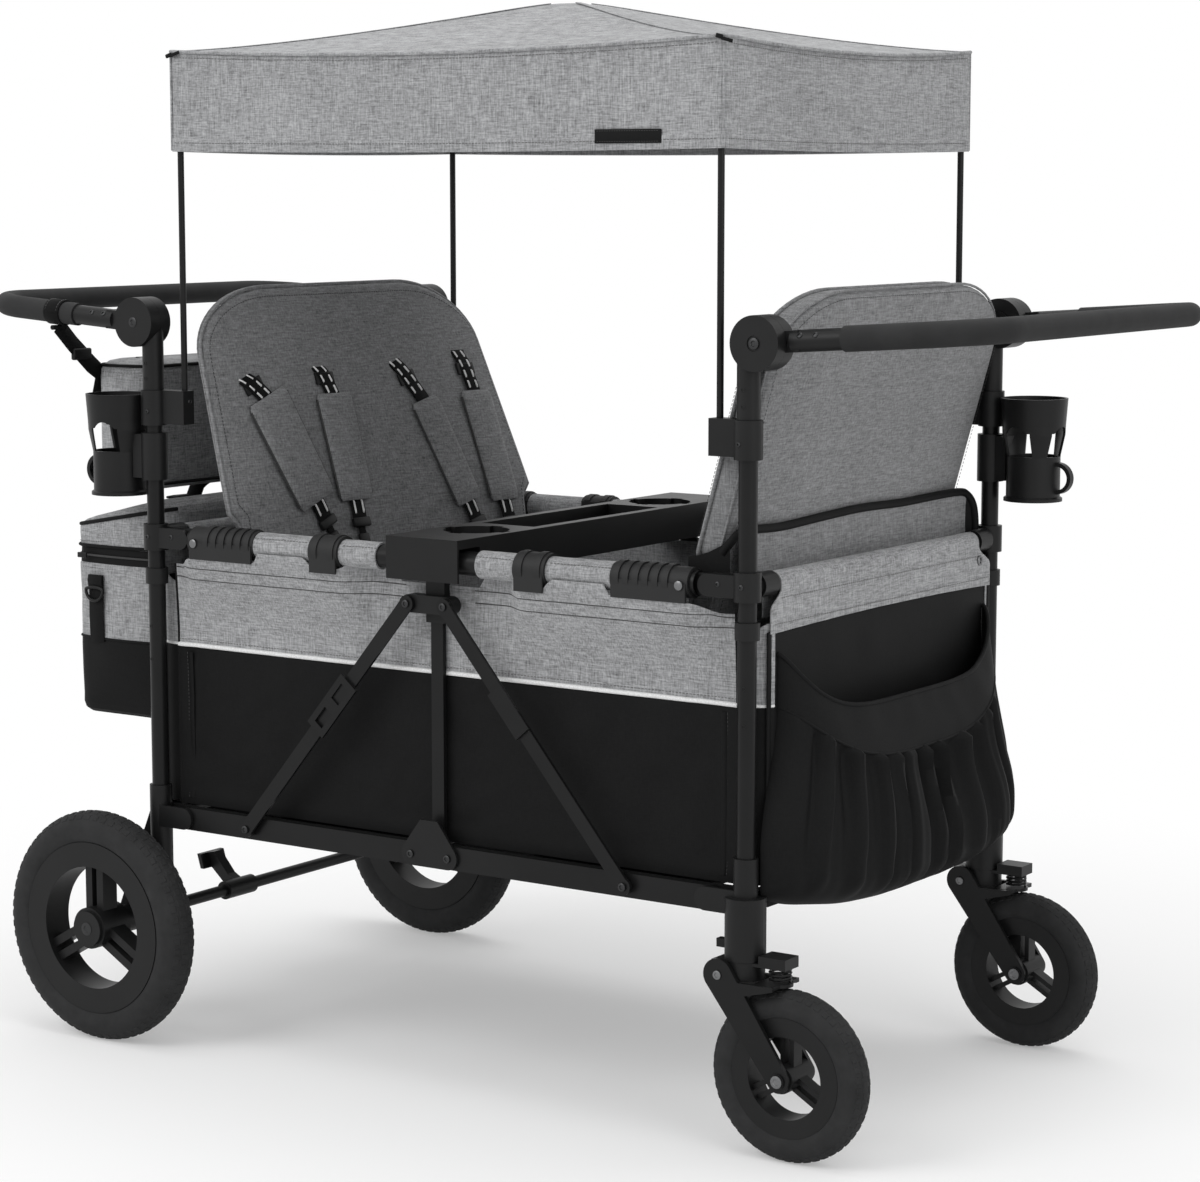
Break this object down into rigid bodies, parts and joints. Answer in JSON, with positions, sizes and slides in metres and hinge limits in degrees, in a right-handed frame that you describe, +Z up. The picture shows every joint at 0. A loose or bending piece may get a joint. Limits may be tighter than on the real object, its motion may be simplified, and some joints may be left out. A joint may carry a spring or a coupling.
{
  "type": "stroller wagon",
  "caption": "Folding two-ended stroller wagon with facing seats, peaked canopy, console tray, pivoting push handles, soft bags, sprung swivel casters and braked rear wheels.",
  "frame": {"origin": "on the ground under the middle of the wagon's overall box", "axes": "+X towards the caster end, +Y to the wagon's left side, +Z up"},
  "size_m": [1.4976, 0.762, 1.331],
  "materials": {
    "frame_tube": "satin black powder coat",
    "black_plastic": "fine-grained moulded black",
    "tyre_rubber": "dark grey, small tread blocks",
    "foam": "closed-cell foam",
    "heather_cloth": "light heather grey weave",
    "seat_cloth": "dark heather grey weave",
    "black_nylon": "black ripstop and webbing"
  },
  "bodies": {
    "rear_frame": {"rear_posts": "frame_tube", "rear_hubs": "black_plastic", "rear_brackets": "black_plastic", "rear_lower_mounts": "black_plastic", "rear_end_panel": "black_nylon", "rear_cup_holder": "black_plastic", "cooler_bag": "heather_cloth", "rear_seat": "seat_cloth", "rear_harness": "black_nylon", "tub_sides": "heather_cloth"},
    "rear_lower": {"rear_lower_rails": "frame_tube", "rear_floor": "black_nylon"},
    "mid": {"columns": "frame_tube", "gussets": "black_plastic"},
    "front_lower": {"front_lower_rails": "frame_tube", "front_floor": "black_nylon"},
    "front_frame": {"front_posts": "frame_tube", "front_hubs": "black_plastic", "front_brackets": "black_plastic", "caster_housings": "black_plastic", "front_end_panel": "black_nylon", "front_cup_holder": "black_plastic", "front_basket": "black_nylon", "front_seat": "seat_cloth"},
    "rear_upper": {"rear_upper_rails": "frame_tube", "rear_rail_covers": "heather_cloth", "rear_rail_grips": "foam"},
    "front_upper": {"front_upper_rails": "frame_tube", "front_rail_covers": "heather_cloth", "front_rail_grips": "foam"},
    "sliders": {"sliders": "black_plastic"},
    "rear_struts": {"rear_struts": "frame_tube"},
    "front_struts": {"front_struts": "frame_tube"},
    "tray": {"tray": "black_plastic"},
    "canopy": {"rear_poles": "frame_tube", "canopy_top": "heather_cloth"},
    "front_poles": {"front_poles": "frame_tube"},
    "rear_handle": {"rear_handle": "black_plastic", "rear_grip": "foam", "organizer_loops": "black_nylon"},
    "organizer": {"organizer_bag": "heather_cloth"},
    "front_handle": {"front_handle": "black_plastic", "front_grip": "foam"},
    "rear_button": {"rear_button": "black_plastic"},
    "front_button": {"front_button": "black_plastic"},
    "rear_wheel_r": {"rear_tyre_r": "tyre_rubber", "rear_rim_r": "black_plastic"},
    "rear_wheel_l": {"rear_tyre_l": "tyre_rubber", "rear_rim_l": "black_plastic"},
    "brake_pedal": {"brake_pedal": "black_plastic"},
    "caster_r": {"caster_head_r": "black_plastic", "spring_r": "frame_tube"},
    "caster_l": {"caster_head_l": "black_plastic", "spring_l": "frame_tube"},
    "fork_r": {"fork_r": "frame_tube"},
    "fork_l": {"fork_l": "frame_tube"},
    "front_wheel_r": {"front_tyre_r": "tyre_rubber", "front_rim_r": "black_plastic"},
    "front_wheel_l": {"front_tyre_l": "tyre_rubber", "front_rim_l": "black_plastic"}
  },
  "joints": [
    {"name": "fold", "type": "hinge", "parent": "rear_frame", "child": "rear_lower", "pos_m": [-0.398, 0, 0.294], "axis": [0, -1, 0], "range_deg": [0, 70], "deforming": ["tub_sides", "rear_seat", "front_seat", "rear_harness", "canopy_top"]},
    {"name": "mid_fold", "type": "hinge", "parent": "rear_lower", "child": "mid", "pos_m": [-0.028, 0, 0.294], "axis": [0, -1, 0], "range_deg": [-70, 0]},
    {"name": "front_lower_fold", "type": "hinge", "parent": "mid", "child": "front_lower", "pos_m": [0.028, 0, 0.294], "axis": [0, -1, 0], "range_deg": [-70, 0]},
    {"name": "front_frame_fold", "type": "hinge", "parent": "front_lower", "child": "front_frame", "pos_m": [0.398, 0, 0.294], "axis": [0, -1, 0], "range_deg": [0, 70]},
    {"name": "rear_upper_fold", "type": "hinge", "parent": "rear_frame", "child": "rear_upper", "pos_m": [-0.398, 0, 0.656], "axis": [0, -1, 0], "range_deg": [0, 70]},
    {"name": "front_upper_fold", "type": "hinge", "parent": "front_frame", "child": "front_upper", "pos_m": [0.398, 0, 0.656], "axis": [0, -1, 0], "range_deg": [-70, 0]},
    {"name": "slider_drop", "type": "slide", "parent": "mid", "child": "sliders", "axis": [0, 0, -1], "range_m": [0, 0.1595]},
    {"name": "rear_strut_fold", "type": "hinge", "parent": "sliders", "child": "rear_struts", "pos_m": [-0.028, 0, 0.603], "axis": [0, -1, 0], "range_deg": [0, 27.4]},
    {"name": "front_strut_fold", "type": "hinge", "parent": "sliders", "child": "front_struts", "pos_m": [0.028, 0, 0.603], "axis": [0, 1, 0], "range_deg": [0, 27.4]},
    {"name": "tray_lift", "type": "slide", "parent": "mid", "child": "tray", "axis": [0, 0, 1], "range_m": [0, 0.12]},
    {"name": "canopy_lift", "type": "slide", "parent": "rear_frame", "child": "canopy", "axis": [0, 0, 1], "range_m": [0, 0.05]},
    {"name": "front_pole_lift", "type": "slide", "parent": "front_frame", "child": "front_poles", "axis": [0, 0, 1], "range_m": [0, 0.05]},
    {"name": "rear_handle_tilt", "type": "hinge", "parent": "rear_frame", "child": "rear_handle", "pos_m": [-0.463, 0, 0.931], "axis": [0, 1, 0], "range_deg": [0, 35]},
    {"name": "organizer_hang", "type": "hinge", "parent": "rear_handle", "child": "organizer", "pos_m": [-0.60105, 0, 0.92079], "axis": [0, 1, 0], "range_deg": [-35, 0]},
    {"name": "front_handle_tilt", "type": "hinge", "parent": "front_frame", "child": "front_handle", "pos_m": [0.463, 0, 0.931], "axis": [0, -1, 0], "range_deg": [-20, 60]},
    {"name": "rear_button_press", "type": "slide", "parent": "rear_frame", "child": "rear_button", "axis": [0, -1, 0], "range_m": [0, 0.0027], "stiffness_N_per_m": 800},
    {"name": "front_button_press", "type": "slide", "parent": "front_frame", "child": "front_button", "axis": [0, 1, 0], "range_m": [0, 0.0027], "stiffness_N_per_m": 800},
    {"name": "rear_wheel_spin_r", "type": "hinge", "parent": "rear_frame", "child": "rear_wheel_r", "pos_m": [-0.5, -0.352, 0.15], "axis": [0, 1, 0], "continuous": true},
    {"name": "rear_wheel_spin_l", "type": "hinge", "parent": "rear_frame", "child": "rear_wheel_l", "pos_m": [-0.5, 0.352, 0.15], "axis": [0, 1, 0], "continuous": true},
    {"name": "brake_press", "type": "hinge", "parent": "rear_frame", "child": "brake_pedal", "pos_m": [-0.5, 0, 0.15], "axis": [0, -1, 0], "range_deg": [0, 20]},
    {"name": "caster_swivel_r", "type": "hinge", "parent": "front_frame", "child": "caster_r", "pos_m": [0.446, -0.294, 0.22], "axis": [0, 0, 1], "continuous": true},
    {"name": "fork_rock_r", "type": "hinge", "parent": "caster_r", "child": "fork_r", "pos_m": [0.427, -0.294, 0.212], "axis": [0, -1, 0], "range_deg": [0, 4], "stiffness_Nm_per_rad": 120, "springref_deg": -5.73, "deforming": ["spring_r"]},
    {"name": "front_wheel_spin_r", "type": "hinge", "parent": "fork_r", "child": "front_wheel_r", "pos_m": [0.508, -0.294, 0.1], "axis": [0, 1, 0], "continuous": true},
    {"name": "caster_swivel_l", "type": "hinge", "parent": "front_frame", "child": "caster_l", "pos_m": [0.446, 0.294, 0.22], "axis": [0, 0, 1], "continuous": true},
    {"name": "fork_rock_l", "type": "hinge", "parent": "caster_l", "child": "fork_l", "pos_m": [0.427, 0.294, 0.212], "axis": [0, -1, 0], "range_deg": [0, 4], "stiffness_Nm_per_rad": 120, "springref_deg": -5.73, "deforming": ["spring_l"]},
    {"name": "front_wheel_spin_l", "type": "hinge", "parent": "fork_l", "child": "front_wheel_l", "pos_m": [0.508, 0.294, 0.1], "axis": [0, 1, 0], "continuous": true}
  ],
  "couplings": [
    {"joint": "mid_fold", "follows": "fold", "ratio": -1},
    {"joint": "front_lower_fold", "follows": "fold", "ratio": -1},
    {"joint": "front_frame_fold", "follows": "fold", "ratio": 1},
    {"joint": "rear_upper_fold", "follows": "fold", "ratio": 1},
    {"joint": "front_upper_fold", "follows": "fold", "ratio": -1},
    {"joint": "slider_drop", "follows": "fold", "m_per_rad": 0.13047},
    {"joint": "rear_strut_fold", "follows": "fold", "ratio": 0.39083},
    {"joint": "front_strut_fold", "follows": "fold", "ratio": 0.39083},
    {"joint": "front_pole_lift", "follows": "canopy_lift", "ratio": 1},
    {"joint": "organizer_hang", "follows": "rear_handle_tilt", "ratio": -1}
  ]
}
